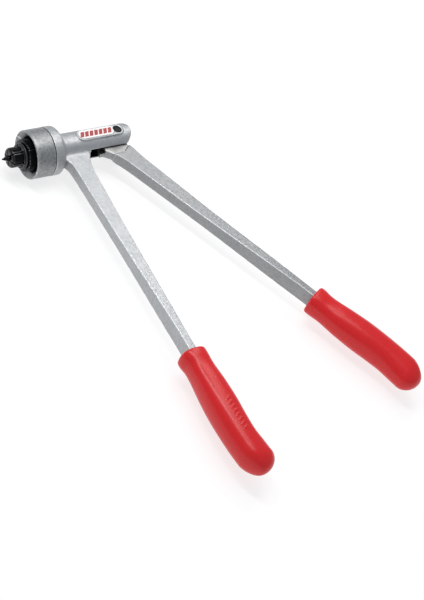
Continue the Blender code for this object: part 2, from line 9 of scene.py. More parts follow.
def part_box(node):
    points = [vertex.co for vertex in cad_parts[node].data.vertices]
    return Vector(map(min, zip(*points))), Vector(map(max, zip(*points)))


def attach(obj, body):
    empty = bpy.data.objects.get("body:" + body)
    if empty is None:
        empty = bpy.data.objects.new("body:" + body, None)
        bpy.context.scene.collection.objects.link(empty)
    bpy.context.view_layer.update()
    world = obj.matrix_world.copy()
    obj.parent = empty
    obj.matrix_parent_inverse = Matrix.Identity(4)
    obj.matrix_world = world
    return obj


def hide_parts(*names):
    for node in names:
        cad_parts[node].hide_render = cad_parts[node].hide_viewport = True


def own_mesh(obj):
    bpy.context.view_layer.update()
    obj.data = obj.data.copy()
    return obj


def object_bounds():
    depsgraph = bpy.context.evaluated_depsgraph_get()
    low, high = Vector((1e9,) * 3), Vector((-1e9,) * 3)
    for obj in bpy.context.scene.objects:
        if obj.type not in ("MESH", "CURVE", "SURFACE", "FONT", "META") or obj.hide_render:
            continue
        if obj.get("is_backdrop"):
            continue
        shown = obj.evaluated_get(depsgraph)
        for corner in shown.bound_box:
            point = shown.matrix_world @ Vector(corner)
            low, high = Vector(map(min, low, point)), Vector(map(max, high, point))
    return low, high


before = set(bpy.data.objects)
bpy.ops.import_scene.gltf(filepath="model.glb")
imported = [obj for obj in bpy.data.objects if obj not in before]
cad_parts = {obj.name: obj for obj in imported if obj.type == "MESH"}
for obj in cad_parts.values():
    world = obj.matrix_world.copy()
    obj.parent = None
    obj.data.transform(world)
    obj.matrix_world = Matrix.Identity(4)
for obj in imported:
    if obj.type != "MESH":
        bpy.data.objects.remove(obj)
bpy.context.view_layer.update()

# Shapes are drawn in millimetres in the tool's own frame, as in the CAD: the origin is the centre
# of the head ring's front, X runs back along the barrel, the handles run to -Y and the pivot pin
# stands along Z.
ring_low, ring_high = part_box("head_cap")
AT = Vector((ring_low.x, (ring_low.y + ring_high.y) / 2, (ring_low.z + ring_high.z) / 2))
MM = 0.001
CLEAR = 40.0  # well outside the head and the barrel, for the pieces that cut them

CAP_R, CAP_LENGTH = 25.0, 20.9
# The casting: the nose that the ring screws on, flange, barrel and rounded rear, then its hollows.
THREAD_START, THREAD_R, THREAD_END = 14.0, 21.5, 21.2
FLANGE_R, FLANGE_END, FLANGE_ROUND, VALLEY_R = 25.3, 33.2, 4.0, 6.0
BARREL_R, REAR_START, REAR_R, BOSS_R = 15.2, 95.0, 16.0, 7.4
BORE_R, BORE_END = 9.5, 86.0
SEAT_START, SEAT_R, BUSH_END = 9.0, 11.8, 20.2
PIVOT_X, HOLE_FIT = 102.0, 0.3
PIN_R, PIN_HEAD_R = 3.8, 4.35
SLOT_START, SLOT_HALF, SLOT_TOP = 66.8, 6.6, 11.4
TONGUE_HALF, TONGUE_BOSS_R = 5.2, 10.5
HEEL = (89.8, -23.8)  # where the lever's bar meets its thinner tongue, on the inner side
CAM_RISE, CAM_AIR, ROLLER_X, ROLLER_R = 20.0, 0.3, 77.7, 6.0
PAD_TOP, PAD_HALF, PAD_START = 16.3, 6.6, 54.5
PLATE_END, PLATE_HALF, RECESS_HALF, RECESS_DEPTH = 92.0, 5.3, 5.6, 0.7
# The jaws, their noses and the rubber ring round them.
JAW_COUNT, JAW_TURN, JAW_SLIT = 6, 20.0, 1.5
NOSE_R, NOSE_TIP, NOSE_ROUND = 10.3, -20.0, 1.6
RING_X, RING_R, RING_SECTION = -5.85, 12.35, 1.25
# The mandrel: its cone widens from the front to the neck, behind which the plunger runs.
NECK_R = 6.9
CONE_START, CONE_START_R, CONE_SLOPE = -23.0, 2.2, math.tan(math.radians(10.0))
PLUNGER_FRONT, PLUNGER_R = 38.7, 9.2

FIXED_FOOT = Vector((48.3, 0.0))
FIXED_ALONG = Vector((0.0, -1.0))
FIXED_INWARD = Vector((1.0, 0.0))
LEVER_TILT = math.radians(25.83)
LEVER_FOOT = Vector((94.3, -3.7))
LEVER_ALONG = Vector((math.sin(LEVER_TILT), -math.cos(LEVER_TILT)))
LEVER_INWARD = Vector((LEVER_ALONG.y, -LEVER_ALONG.x))
# The shanks, by distance along them from the foot.
STATIONS = (40.0, 80.0, 120.0, 160.0, 200.0, 250.0)
SHANK_WIDE, SHANK_NARROW, SHANK_THIN, SHANK_DEEP = 18.4, 7.6, 6.5, 9.0
DEEPEN_FROM, DEEPEN_OVER = 110.0, 140.0
SLICE_FROM, SLICE_EVERY = 60, 12
TANG_END = 385.0
GRIP_START, GRIP_LENGTH = 267.0, 137.0
# Turns an outline drawn in X and Y, raised along Z, into one drawn in Y and Z, raised along X.
TURN_Z_TO_X = Matrix(((0, 0, 1, 0), (1, 0, 0, 0), (0, 1, 0, 0), (0, 0, 0, 1)))


# ---- mesh code -------------------------------------------------------------------------


def new_object(name, mesh):
    made = bpy.data.objects.new(name, mesh)
    bpy.context.scene.collection.objects.link(made)
    return made


def drawn(name, verts, faces):
    """An object from points and faces, with its normals turned outward."""
    bm = bmesh.new()
    points = [bm.verts.new(v) for v in verts]
    for face in faces:
        bm.faces.new([points[i] for i in face])
    bmesh.ops.recalc_face_normals(bm, faces=bm.faces)
    if bm.calc_volume(signed=True) < 0.0:
        bmesh.ops.reverse_faces(bm, faces=bm.faces)
    mesh = bpy.data.meshes.new(name)
    bm.to_mesh(mesh)
    bm.free()
    return new_object(name, mesh)


def settled(obj):
    """Applies the object's modifiers."""
    bpy.context.view_layer.update()
    graph = bpy.context.evaluated_depsgraph_get()
    mesh = bpy.data.meshes.new_from_object(obj.evaluated_get(graph))
    mesh.name = obj.name
    obj.modifiers.clear()
    obj.data = mesh
    return obj


def soft_step(value, low, high):
    """0 below low, 1 above high and smooth between."""
    t = np.clip((value - low) / (high - low), 0.0, 1.0)
    return t * t * (3.0 - 2.0 * t)


def arc(centre, radius, start, end, steps):
    turns = [math.radians(start + (end - start) * i / steps) for i in range(steps + 1)]
    return [(centre[0] + radius * math.cos(a), centre[1] + radius * math.sin(a)) for a in turns]


def pill(end, half, steps):
    """An outline with round ends, from the pad's front to a given centre."""
    front = (PAD_START + PAD_HALF, 0.0)
    return arc((end, 0.0), half, -90.0, 90.0, steps) + arc(front, half, 90.0, 270.0, steps)


def bend(start, control, end, steps):
    """A curve that leaves its start and meets its end in the direction of the control point."""
    a, b, c = Vector(start), Vector(control), Vector(end)
    shares = [i / steps for i in range(1, steps + 1)]
    return [tuple(a * (1 - t) ** 2 + b * 2 * t * (1 - t) + c * t * t) for t in shares]


def walls(rings, around):
    """The faces that join each ring of points to the next."""
    return [
        (i * around + k, i * around + n, (i + 1) * around + n, (i + 1) * around + k)
        for i in range(rings - 1)
        for k, n in ((k, (k + 1) % around) for k in range(around))
    ]


def eased(points, ease=0.3, closed=True, steps=3):
    """Rounds the corners of an outline. A point's third number is its own corner's size."""
    out = []
    for i, point in enumerate(points):
        here = Vector(point[:2])
        if not closed and i in (0, len(points) - 1):
            out.append(tuple(here))
            continue
        before = Vector(points[i - 1][:2]) - here
        after = Vector(points[(i + 1) % len(points)][:2]) - here
        size = point[2] if len(point) > 2 else ease
        reach = min(size, 0.45 * before.length, 0.45 * after.length)
        if reach < 0.01:
            out.append(tuple(here))
            continue
        first, last = here + before.normalized() * reach, here + after.normalized() * reach
        for k in range(steps + 1):
            t = k / steps
            out.append(tuple(first * (1 - t) ** 2 + here * 2 * t * (1 - t) + last * t * t))
    return out


def turned(name, profile, steps=128, axis="X", centre=(0.0, 0.0, 0.0)):
    """A shape turned about an axis. A profile that leaves the axis closes into a ring."""
    verts, rings = [], []
    for along, radius in profile:
        count = 1 if radius < 1e-6 else steps
        rings.append(range(len(verts), len(verts) + count))
        for k in range(count):
            turn = 2.0 * math.pi * k / steps
            side, up = radius * math.cos(turn), radius * math.sin(turn)
            point = (along, side, up) if axis == "X" else (side, up, along)
            verts.append(Vector(point) + Vector(centre))
    pairs = list(zip(rings, rings[1:]))
    if profile[0][1] > 1e-6:
        pairs.append((rings[-1], rings[0]))
    faces = []
    for a, b in pairs:
        for k in range(steps):
            n = (k + 1) % steps
            if len(a) == 1:
                faces.append((a[0], b[k], b[n]))
            elif len(b) == 1:
                faces.append((a[k], b[0], a[n]))
            else:
                faces.append((a[k], b[k], b[n], a[n]))
    return drawn(name, verts, faces)


def prism(name, outline, low, high):
    """An outline in X and Y, raised from low to high along Z."""
    count = len(outline)
    verts = [(x, y, z) for z in (low, high) for x, y in outline]
    faces = [tuple(range(count)), tuple(range(count, 2 * count))]
    faces += [(i, (i + 1) % count, count + (i + 1) % count, count + i) for i in range(count)]
    return drawn(name, verts, faces)


def block(name, low, high):
    corners = [(low[0], low[1]), (high[0], low[1]), (high[0], high[1]), (low[0], high[1])]
    return prism(name, corners, low[2], high[2])


def post(name, centre, radius, low, high, steps=48):
    return prism(name, arc(centre, radius, 0.0, 360.0 - 360.0 / steps, steps - 1), low, high)


def combine(target, other, operation="DIFFERENCE"):
    """Cuts with a closed piece, or joins one, at once."""
    step = target.modifiers.new("Combine", "BOOLEAN")
    step.operation, step.solver, step.object = operation, "MANIFOLD", other
    settled(target)
    bpy.data.objects.remove(other)
    return target


def bevelled(obj, width, segments=2, angle=35.0):
    bevel = obj.modifiers.new("Bevel", "BEVEL")
    bevel.width, bevel.segments = width, segments
    bevel.limit_method, bevel.angle_limit = "ANGLE", math.radians(angle)
    return settled(obj)


def smoothed(obj, angle=35.0):
    obj.data.shade_smooth()
    obj.data.set_sharp_from_angle(angle=math.radians(angle))
    return obj


def coords(obj):
    co = np.zeros(len(obj.data.vertices) * 3)
    obj.data.vertices.foreach_get("co", co)
    return co.reshape(-1, 3)


def set_coords(obj, co):
    obj.data.vertices.foreach_set("co", co.ravel())
    obj.data.update()


def relax(obj, share, passes):
    """Moves each point part of the way to the middle of its neighbours, share by share."""
    co = coords(obj)
    edges = np.zeros(len(obj.data.edges) * 2, np.int32)
    obj.data.edges.foreach_get("vertices", edges)
    ends = np.concatenate([edges[0::2], edges[1::2]])
    others = np.concatenate([edges[1::2], edges[0::2]])
    count = np.bincount(ends, minlength=len(co))[:, None]
    for _ in range(passes):
        total = np.stack([np.bincount(ends, co[others, k], len(co)) for k in range(3)], axis=1)
        co += (total / count - co) * share
    set_coords(obj, co)


def near_lines(co, lines):
    """How close each point is to the nearest line (start, end, reach), from 0 at its reach to 1."""
    best = np.zeros(len(co))
    for start, end, reach in lines:
        a, b = np.array(start), np.array(end)
        t = np.clip((co - a) @ (b - a) / ((b - a) @ (b - a)), 0.0, 1.0)
        away = np.linalg.norm(co - a - t[:, None] * (b - a), axis=1)
        best = np.maximum(best, soft_step(1.0 - away / reach, 0.0, 0.6))
    return best


def cast_skin(obj, voxel, fillets, keep):
    """Gives a sharp solid a casting's soft edges, with wider fillets along the given lines."""
    remesh = obj.modifiers.new("Skin", "REMESH")
    remesh.mode, remesh.voxel_size, remesh.adaptivity = "VOXEL", voxel, 0.0
    settled(obj)
    relax(obj, 0.5, 5)
    relax(obj, 0.5 * near_lines(coords(obj), fillets)[:, None], 60)
    thin = obj.modifiers.new("Thin", "DECIMATE")
    thin.ratio = keep
    settled(obj)
    obj.data.shade_smooth()
    return obj


def finished(obj, body, material, replaced=()):
    """Puts a piece in its place in metres, on its body, with its finish."""
    obj.data.transform(Matrix.Translation(AT) @ Matrix.Scale(MM, 4))
    obj.data.materials.clear()
    obj.data.materials.append(material)
    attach(obj, body)
    if replaced:
        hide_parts(*replaced)
    return obj


def spline_at(table, at):
    """A smooth curve through (place, value) pairs, read at the places in an array."""
    x, y = np.array(table).T
    slope = np.gradient(y, x)
    i = np.clip(np.searchsorted(x, at, side="right") - 1, 0, len(x) - 2)
    width = x[i + 1] - x[i]
    t = (at - x[i]) / width
    return (
        y[i] * (1 + 2 * t) * (1 - t) ** 2
        + slope[i] * width * t * (1 - t) ** 2
        + y[i + 1] * t * t * (3 - 2 * t)
        + slope[i + 1] * width * t * t * (t - 1)
    )


# ---- materials -------------------------------------------------------------------------

PAINTED_SHADE = (0.012, 0.012, 0.012)
WEAR_AND_HIGHLIGHT = (0.86, 0.865, 0.87)



class Paint:
    """A node material while it is put together. Textures lie in the row frame, in metres."""

    def __init__(self, name, metallic=0.0):
        self.made = bpy.data.materials.new(name)
        self.made.use_nodes = True
        self.nodes, self.links = self.made.node_tree.nodes, self.made.node_tree.links
        self.shader = self.nodes["Principled BSDF"]
        self.shader.inputs["Metallic"].default_value = metallic
        self.place = self.nodes.new("ShaderNodeTexCoord").outputs["Object"]

    def put(self, socket, value):
        if isinstance(value, bpy.types.NodeSocket):
            self.links.new(value, socket)
        elif isinstance(value, tuple) and len(value) == 3 and socket.type == "RGBA":
            socket.default_value = (*value, 1.0)
        else:
            socket.default_value = value

    def stretched(self, scale):
        node = self.nodes.new("ShaderNodeMapping")
        self.put(node.inputs["Vector"], self.place)
        node.inputs["Scale"].default_value = scale
        return node.outputs["Vector"]

    def noise(self, scale, detail=3.0, rough=0.55, at=None):
        node = self.nodes.new("ShaderNodeTexNoise")
        self.put(node.inputs["Vector"], at or self.place)
        node.inputs["Scale"].default_value = scale
        node.inputs["Detail"].default_value = detail
        node.inputs["Roughness"].default_value = rough
        return node.outputs["Fac"]

    def cells(self, scale):
        node = self.nodes.new("ShaderNodeTexVoronoi")
        self.put(node.inputs["Vector"], self.place)
        node.inputs["Scale"].default_value = scale
        return node.outputs["Distance"]

    def ramp(self, fac, low, high, start, end):
        """The start value below low and the end value above high."""
        node = self.nodes.new("ShaderNodeValToRGB")
        self.put(node.inputs["Fac"], fac)
        for element, place, value in zip(node.color_ramp.elements, (low, high), (start, end)):
            element.position = place
            element.color = (value, value, value, 1.0)
        return node.outputs["Color"]

    def math(self, operation, a, b=0.0):
        node = self.nodes.new("ShaderNodeMath")
        node.operation = operation
        self.put(node.inputs[0], a)
        self.put(node.inputs[1], b)
        return node.outputs["Value"]

    def mix(self, fac, a, b):
        node = self.nodes.new("ShaderNodeMix")
        node.data_type = "RGBA"
        self.put(node.inputs["Factor"], fac)
        self.put(node.inputs[6], a)
        self.put(node.inputs[7], b)
        return node.outputs[2]

    def part(self, axis):
        node = self.nodes.new("ShaderNodeSeparateXYZ")
        self.put(node.inputs[0], self.place)
        return node.outputs[axis]

    def edge(self):
        return self.nodes.new("ShaderNodeNewGeometry").outputs["Pointiness"]

    def mask(self, name):
        node = self.nodes.new("ShaderNodeAttribute")
        node.attribute_name = name
        return node.outputs["Fac"]

    def bump(self, height, distance):
        node = self.nodes.new("ShaderNodeBump")
        node.inputs["Strength"].default_value = 1.0
        node.inputs["Distance"].default_value = distance
        self.put(node.inputs["Height"], height)
        return node.outputs["Normal"]

    def finish(self, colour, roughness, normal, **constants):
        self.put(self.shader.inputs["Base Color"], colour)
        self.put(self.shader.inputs["Roughness"], roughness)
        self.put(self.shader.inputs["Normal"], normal)
        for name, value in constants.items():
            self.put(self.shader.inputs[name.replace("_", " ")], value)
        return self.made


def cast_aluminium(name, tone):
    """Sand-blasted casting: fine grain, small pits, a mould line at mid height, bright edges that
    are partly wear and partly painted highlight.

    Its bore and slot are darkened with painted shade.
    """
    def shade(*colour):
        return tuple(part * tone for part in colour)

    p = Paint(name, metallic=0.85)
    grain = p.noise(1500.0, detail=5.0, rough=0.7)
    coarse = p.noise(420.0, detail=3.0)
    clouds = p.noise(38.0, detail=4.0)
    scattered = p.ramp(p.noise(190.0, detail=2.0), 0.55, 0.68, 0.0, 1.0)
    pit = p.math("MULTIPLY", p.ramp(p.cells(520.0), 0.1, 0.3, 1.0, 0.0), scattered)
    off_middle = p.math("ABSOLUTE", p.math("SUBTRACT", p.part("Z"), AT.z))
    line = p.ramp(off_middle, 0.00025, 0.0006, 1.0, 0.0)
    edge = p.ramp(p.edge(), 0.505, 0.56, 0.0, 1.0)
    machined = p.mask("machined")
    base = p.mix(clouds, shade(0.41, 0.425, 0.445), shade(0.50, 0.505, 0.51))
    base = p.mix(p.ramp(coarse, 0.42, 0.66, 0.0, 0.32), base, shade(0.27, 0.28, 0.29))
    base = p.mix(p.math("MULTIPLY", pit, 0.6), base, (0.16, 0.165, 0.17))
    base = p.mix(machined, base, (0.35, 0.353, 0.35))
    # Painted highlight: the ridge mask lightens the handle bars' long edges. The pointiness edges
    # are partly real wear and partly painted highlight.
    ridge_highlight = p.math("MULTIPLY", p.mask("ridge_highlight"), 0.95)
    edge = p.math("MAXIMUM", p.math("MULTIPLY", edge, 0.7), ridge_highlight)
    colour = p.mix(edge, base, WEAR_AND_HIGHLIGHT)
    # The inside mask paints shade, near black, into the slot, the bore and the seam.
    colour = p.mix(p.mask("inside"), colour, PAINTED_SHADE)
    cuts = p.noise(1.0, detail=2.0, at=p.stretched((260.0, 5200.0, 5200.0)))
    rough = p.math("ADD", p.math("MULTIPLY", coarse, 0.22), 0.34)
    rough = p.math("SUBTRACT", rough, p.math("MULTIPLY", edge, 0.12))
    height = p.math("ADD", p.math("MULTIPLY", grain, 0.7), p.math("MULTIPLY", coarse, 0.55))
    height = p.math("SUBTRACT", height, p.math("MULTIPLY", pit, 0.8))
    height = p.math("ADD", height, p.math("MULTIPLY", line, 0.5))
    plain = p.math("SUBTRACT", 1.0, machined)
    height = p.math("ADD", p.math("MULTIPLY", height, plain), p.math("MULTIPLY", cuts, 0.08))
    return p.finish(colour, rough, p.bump(height, 0.00024))


def satin_aluminium():
    """Turned and blasted ring: faint turning lines round it, grain, and a bright front rim, partly
    wear and partly painted highlight.
    """
    p = Paint("satin_aluminium_turned", metallic=0.9)
    lines = p.noise(1.0, detail=2.0, at=p.stretched((2600.0, 30.0, 30.0)))
    grain = p.noise(1900.0, detail=4.0, rough=0.7)
    clouds = p.noise(60.0, detail=4.0)
    mottle = p.ramp(p.noise(430.0, detail=3.0), 0.4, 0.64, 0.0, 0.75)
    # Painted highlight: only the front rim's edges are lightened, partly as wear.
    front = p.math("LESS_THAN", p.part("X"), AT.x + 3.0 * MM)
    edge = p.math("MULTIPLY", p.ramp(p.edge(), 0.51, 0.56, 0.0, 0.8), front)
    base = p.mix(clouds, (0.29, 0.30, 0.31), (0.38, 0.385, 0.385))
    base = p.mix(mottle, base, (0.19, 0.197, 0.20))
    base = p.mix(p.ramp(grain, 0.4, 0.75, 0.0, 0.4), base, (0.20, 0.21, 0.22))
    colour = p.mix(edge, base, (0.84, 0.85, 0.86))
    rough = p.math("ADD", p.math("MULTIPLY", lines, 0.2), 0.34)
    height = p.math("ADD", p.math("MULTIPLY", lines, 0.35), p.math("MULTIPLY", grain, 0.5))
    return p.finish(colour, rough, p.bump(height, 0.00012))


def black_oxide():
    """Blackened hardened steel, rubbed to bare metal along its edges."""
    p = Paint("black_oxide_worn", metallic=1.0)
    smudge = p.noise(140.0, detail=4.0)
    scratch = p.noise(1.0, detail=3.0, at=p.stretched((160.0, 2400.0, 2400.0)))
    edge = p.ramp(p.edge(), 0.51, 0.57, 0.0, 1.0)
    patchy = p.math("MULTIPLY", edge, p.ramp(smudge, 0.35, 0.65, 0.3, 0.9))
    base = p.mix(smudge, (0.006, 0.0068, 0.007), (0.016, 0.0175, 0.018))
    colour = p.mix(patchy, base, (0.24, 0.245, 0.25))
    rough = p.math("ADD", p.math("MULTIPLY", scratch, 0.12), 0.12)
    return p.finish(colour, rough, p.bump(scratch, 0.00002))


def bare_steel(name, low, high, roughness, along=(2600.0, 120.0, 120.0)):
    """Ground steel, with its grinding marks across the given stretch."""
    p = Paint(name, metallic=1.0)
    marks = p.noise(1.0, detail=3.0, at=p.stretched(along))
    stain = p.noise(300.0, detail=3.0)
    colour = p.mix(stain, low, high)
    rough = p.math("ADD", p.math("MULTIPLY", marks, 0.2), roughness)
    return p.finish(colour, rough, p.bump(marks, 0.00003))


def black_rubber():
    p = Paint("rubber_ring_black")
    dust = p.noise(600.0, detail=4.0)
    colour = p.mix(dust, (0.008, 0.008, 0.009), (0.03, 0.03, 0.031))
    rough = p.math("ADD", p.math("MULTIPLY", dust, 0.2), 0.32)
    return p.finish(colour, rough, p.bump(p.noise(2400.0, detail=3.0), 0.00003))


def red_vinyl():
    """Dipped vinyl: a soft gloss over a slightly uneven skin, with rub marks and dark specks."""
    p = Paint("red_vinyl_dipped")
    skin = p.noise(210.0, detail=3.0, rough=0.45)
    fine = p.noise(1500.0, detail=3.0)
    clouds = p.noise(24.0, detail=3.0)
    rub = p.ramp(p.noise(70.0, detail=4.0), 0.5, 0.72, 0.0, 1.0)
    speck = p.ramp(p.noise(900.0, detail=2.0), 0.74, 0.8, 0.0, 1.0)
    base = p.mix(clouds, (0.62, 0.010, 0.014), (0.70, 0.014, 0.017))
    base = p.mix(p.math("MULTIPLY", speck, 0.35), base, (0.30, 0.01, 0.012))
    rough = p.math("ADD", p.math("MULTIPLY", fine, 0.04), 0.25)
    rough = p.math("ADD", rough, p.math("MULTIPLY", rub, 0.05))
    height = p.math("ADD", p.math("MULTIPLY", skin, 0.45), p.math("MULTIPLY", fine, 0.03))
    return p.finish(
        base, rough, p.bump(height, 0.00003), Subsurface_Weight=0.05, Subsurface_Scale=0.002,
        Specular_IOR_Level=0.34,
    )


def enamel(name, low, high):
    """Printed enamel with a fine orange-peel gloss."""
    p = Paint(name)
    clouds = p.noise(180.0, detail=4.0)
    peel = p.noise(1300.0, detail=2.0)
    rough = p.math("ADD", p.math("MULTIPLY", clouds, 0.12), 0.24)
    return p.finish(p.mix(clouds, low, high), rough, p.bump(peel, 0.00002))


CAST = cast_aluminium("cast_aluminium_body", 0.95)
# Painted shade: the lever's copy of the same casting is darker, standing in for the lever lying
# less lit than the body.
SHADED_LEVER_CAST = cast_aluminium("cast_aluminium_lever_shaded", 0.7)
SATIN = satin_aluminium()
BLACK = black_oxide()
RUBBER = black_rubber()
RED = red_vinyl()
WHITE = enamel("plate_white_enamel", (0.80, 0.76, 0.75), (0.86, 0.83, 0.82))
RED_INK = enamel("plate_red_enamel", (0.28, 0.006, 0.009), (0.40, 0.01, 0.014))
STEEL = bare_steel("ground_steel", (0.40, 0.40, 0.41), (0.56, 0.56, 0.56), 0.2)
SPRING = bare_steel(
    "spring_steel_blue", (0.22, 0.23, 0.26), (0.36, 0.37, 0.39), 0.22, (900.0, 900.0, 900.0)
)


# ---- castings --------------------------------------------------------------------------


def half_width(station):
    share = min(max((station - STATIONS[0]) / (STATIONS[-1] - STATIONS[0]), 0.0), 1.0)
    return (SHANK_WIDE + (SHANK_NARROW - SHANK_WIDE) * share) / 2.0


def half_depth(station):
    share = np.clip((station - DEEPEN_FROM) / DEEPEN_OVER, 0.0, 1.0)
    return SHANK_THIN + (SHANK_DEEP - SHANK_THIN) * share * share * (3.0 - 2.0 * share)


def stations_of(co, foot, along):
    """How far along a shank each point lies."""
    return (co[:, 0] - foot.x) * along.x + (co[:, 1] - foot.y) * along.y


def deepen(shape, foot, along):
    """Gives a plate that is 1 mm thick either way the shank's depth at each station."""
    co = coords(shape)
    co[:, 2] *= half_depth(stations_of(co, foot, along))
    set_coords(shape, co)
    return shape


def edge_of(foot, along, inward, station, side):
    return tuple(foot + along * station + inward * half_width(station) * side)


def sliced(shape, foot, along):
    """Cuts a long plate across every few millimetres, so that its depth can follow a curve."""
    bm = bmesh.new()
    bm.from_mesh(shape.data)
    for station in range(SLICE_FROM, int(TANG_END), SLICE_EVERY):
        at = foot + along * station
        bmesh.ops.bisect_plane(
            bm, geom=list(bm.verts) + list(bm.edges) + list(bm.faces),
            plane_co=(at.x, at.y, 0.0), plane_no=(along.x, along.y, 0.0),
        )
    bm.to_mesh(shape.data)
    bm.free()
    return shape


def mark(obj, name, values):
    made = obj.data.attributes.new(name, "FLOAT", "POINT")
    made.data.foreach_set("value", np.asarray(values, np.float32))


def up_share(obj):
    """How far each point's normal stands along Z, from 0 to 1."""
    normal = np.zeros(len(obj.data.vertices) * 3, np.float32)
    obj.data.vertices.foreach_get("normal", normal)
    return np.abs(normal.reshape(-1, 3)[:, 2])


def ridges(obj):
    """The handle bar's long edges, where the faces turn over into one another."""
    up = up_share(obj)
    return soft_step(up, 0.12, 0.4) * (1.0 - soft_step(up, 0.8, 0.97))


def body_cast():
    """The body: barrel, flange, nose, cheeks, pad and the fixed handle's bar in one casting."""
    valley = arc((FLANGE_END + VALLEY_R, BARREL_R + VALLEY_R), VALLEY_R, -90.0, -180.0, 12)
    round_at = (FLANGE_END - FLANGE_ROUND, FLANGE_R - FLANGE_ROUND)
    back = PIVOT_X + REAR_R + 1.0
    profile = [(back, 0.0), (back, BARREL_R), *valley, *arc(round_at, FLANGE_ROUND, 0.0, 90.0, 8)]
    profile += [
        (THREAD_END + 0.4, FLANGE_R), (THREAD_END, FLANGE_R - 0.5), (THREAD_END, THREAD_R),
        (THREAD_START + 0.8, THREAD_R), (THREAD_START, THREAD_R - 0.8), (THREAD_START, 0.0),
    ]
    body = turned("body_cast", profile, steps=144)
    outline = [(0.0, CLEAR), (0.0, -CLEAR), (REAR_START, -CLEAR), (REAR_START, -REAR_R)]
    outline += arc((PIVOT_X, 0.0), REAR_R, -90.0, 90.0, 36)
    outline += [(REAR_START, REAR_R), (REAR_START, CLEAR)]
    combine(body, prism("rear_end", outline, -CLEAR, CLEAR), "INTERSECT")
    combine(body, prism("pad", pill(PIVOT_X, PAD_HALF, 24), 10.0, PAD_TOP), "UNION")
    combine(body, post("boss", (PIVOT_X, 0.0), BOSS_R, -PAD_TOP, -10.0), "UNION")

    def edge(station, side):
        return edge_of(FIXED_FOOT, FIXED_ALONG, FIXED_INWARD, station, side)

    outline = [(SLOT_START, -9.0), (32.5, -9.0), (32.5, -16.0)]
    outline += [(34.6, -20.5), (36.8, -25.0), (38.5, -31.0)]
    outline += [edge(s, -1.0) for s in STATIONS] + [edge(TANG_END, -1.0), edge(TANG_END, 1.0)]
    outline += [edge(s, 1.0) for s in reversed(STATIONS)]
    outline += bend((57.9, -38.0), (59.3, -22.2), (SLOT_START, -14.5), 12)
    shank = sliced(prism("shank", outline, -1.0, 1.0), FIXED_FOOT, FIXED_ALONG)
    combine(body, deepen(shank, FIXED_FOOT, FIXED_ALONG), "UNION")
    # A web above and below fills the corner between barrel and bar, hollowed like a fillet.
    web_in, web_out, hollow_r = -9.0, -17.6, 6.2
    for side in (1.0, -1.0):
        hollow = arc((web_out, SHANK_THIN + hollow_r), hollow_r, -88.0, -36.0, 8)
        web = [(web_in, 5.0), (web_out, 5.0), *hollow, (web_in, 9.1)]
        web = prism("web", [(y, z * side) for y, z in web], 35.5, 63.0)
        web.data.transform(TURN_Z_TO_X)
        combine(body, web, "UNION")
    bore = [
        (BORE_END, 0.0), (BORE_END, BORE_R), (BUSH_END, BORE_R), (BUSH_END, SEAT_R),
        (SEAT_START, SEAT_R), (SEAT_START, 0.0),
    ]
    combine(body, turned("bore", bore, steps=96))
    combine(body, block("slot", (SLOT_START, -30.0, -SLOT_HALF), (130.0, SLOT_TOP, SLOT_HALF)))
    combine(body, post("pin_hole", (PIVOT_X, 0.0), PIN_R + HOLE_FIT, -30.0, 30.0))
    combine(body, post("pin_seat", (PIVOT_X, 0.0), PIN_HEAD_R + HOLE_FIT, PAD_TOP - 3.3, 30.0))
    recess = pill(PLATE_END, RECESS_HALF, 20)
    combine(body, prism("plate_recess", recess, PAD_TOP - RECESS_DEPTH, 30.0))
    # Wider fillets: along those webs, and down the bar's outer root.
    fillets = [((34.0, -14.0, z), (62.0, -14.8, z), 5.5) for z in (9.0, -9.0)]
    fillets += [((31.5, -17.0, z), (35.5, -25.0, z), 6.0) for z in (6.5, 0.0, -6.5)]
    cast_skin(body, 0.42, fillets, 0.3)
    # Painted shade: the slot, the bore and the seam behind the head ring are painted near black
    # where shade falls.
    co = coords(body)
    away = np.hypot(co[:, 1], co[:, 2])
    in_slot = (co[:, 0] > SLOT_START - 5.0) * (co[:, 1] < SLOT_TOP + 1.0)
    in_slot = in_slot * (np.abs(co[:, 2]) < SLOT_HALF + 0.4) * (1.0 - soft_step(away, 13.6, 14.8))
    in_bore = (co[:, 0] < SLOT_START + 1.0) * (away < SEAT_R + 0.6)
    seam = 0.75 * (co[:, 0] < CAP_LENGTH + 0.6) * (away > 20.0)
    mark(body, "inside", np.maximum(np.maximum(in_slot, in_bore), seam))
    # Painted highlight along the bar's long edges.
    mark(body, "ridge_highlight", ridges(body) * soft_step(-co[:, 1], 26.0, 40.0))
    mark(body, "machined", np.zeros(len(co)))
    return finished(body, "body", CAST, ["body_casting"])


def cam_point(turn):
    """The cam's edge about the pivot, where it meets the roller at this turn of the lever."""
    radius = PIVOT_X - ROLLER_X + CAM_RISE * turn
    angle = math.pi + turn
    along = Vector((
        CAM_RISE * math.cos(angle) - radius * math.sin(angle),
        CAM_RISE * math.sin(angle) + radius * math.cos(angle),
    )).normalized()
    outward = Vector((along.y, -along.x))
    roller_at = Vector((radius * math.cos(angle), radius * math.sin(angle)))
    return roller_at - outward * (ROLLER_R + CAM_AIR)


